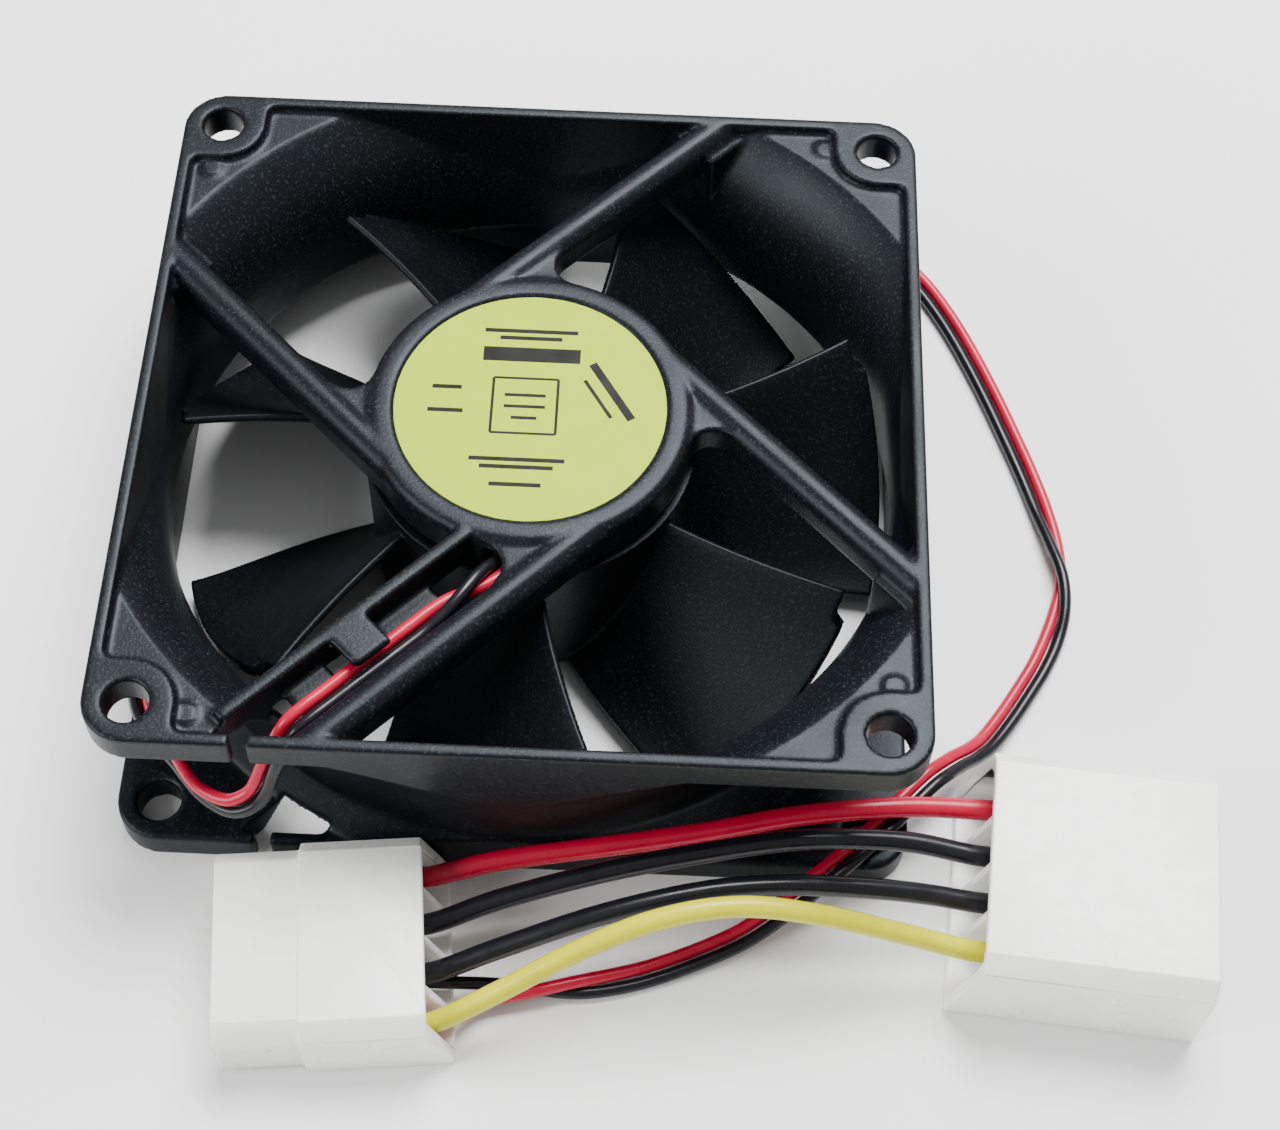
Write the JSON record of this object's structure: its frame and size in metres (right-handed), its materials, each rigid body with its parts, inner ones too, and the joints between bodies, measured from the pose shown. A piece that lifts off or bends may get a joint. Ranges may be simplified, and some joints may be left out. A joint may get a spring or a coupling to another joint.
{
  "type": "case fan",
  "caption": "Square axial fan with a seven-blade impeller on a brushless motor, a twin lead, and a power jumper with pin and socket connectors.",
  "frame": {"origin": "centre of the intake face, on the impeller's axis", "axes": "+Z along the air path from intake to outlet; +X and +Y along the flange sides, with the connectors on the -Y side"},
  "size_m": [0.1138, 0.1105, 0.025],
  "materials": {
    "black_plastic": "satin, fine grain",
    "rotor_plastic": "satin, fine grain",
    "label_film": "semi-gloss film",
    "bronze": "sintered, oily",
    "black_rubber": "matt",
    "nylon_washer": "satin",
    "lamination": "stamped steel",
    "insulator": "satin",
    "copper": "enamelled wire",
    "tinned": "tinned",
    "board": "solder mask",
    "epoxy": "moulded",
    "ceramic": "fired",
    "steel": "zinc plated",
    "ferrite": "matt",
    "shaft_steel": "ground",
    "brass": "turned",
    "clip_steel": "oil black",
    "red_pvc": "glossy",
    "black_pvc": "glossy",
    "yellow_pvc": "glossy",
    "white_nylon": "satin, translucent",
    "contact_brass": "tin flash over brass"
  },
  "bodies": {
    "frame": {"fan_frame": "black_plastic", "label": "label_film", "sleeve_bearing": "bronze", "oil_ring": "black_rubber", "thrust_washer": "nylon_washer", "stator_core": "lamination", "lower_insulator": "insulator", "upper_insulator": "insulator", "stator_coils": "copper", "winding_pins": "tinned", "circuit_board": "board", "hall_sensor": "epoxy", "driver_chip": "epoxy", "capacitor": "ceramic", "solder_joints": "tinned", "lead_red": "red_pvc", "lead_black": "black_pvc", "jumper_red": "red_pvc", "jumper_black_inner": "black_pvc", "jumper_black_outer": "black_pvc", "jumper_yellow": "yellow_pvc", "pin_housing": "white_nylon", "contact_pins": "contact_brass", "socket_housing": "white_nylon", "contact_sockets": "contact_brass"},
    "rotor": {"impeller": "rotor_plastic", "rotor_yoke": "steel", "ring_magnet": "ferrite", "rotor_shaft": "shaft_steel", "hub_bush": "brass", "retaining_clip": "clip_steel"}
  },
  "joints": [
    {"name": "impeller_spin", "type": "hinge", "parent": "frame", "child": "rotor", "pos_m": [0, 0, 0.01], "axis": [0, 0, 1], "continuous": true}
  ]
}
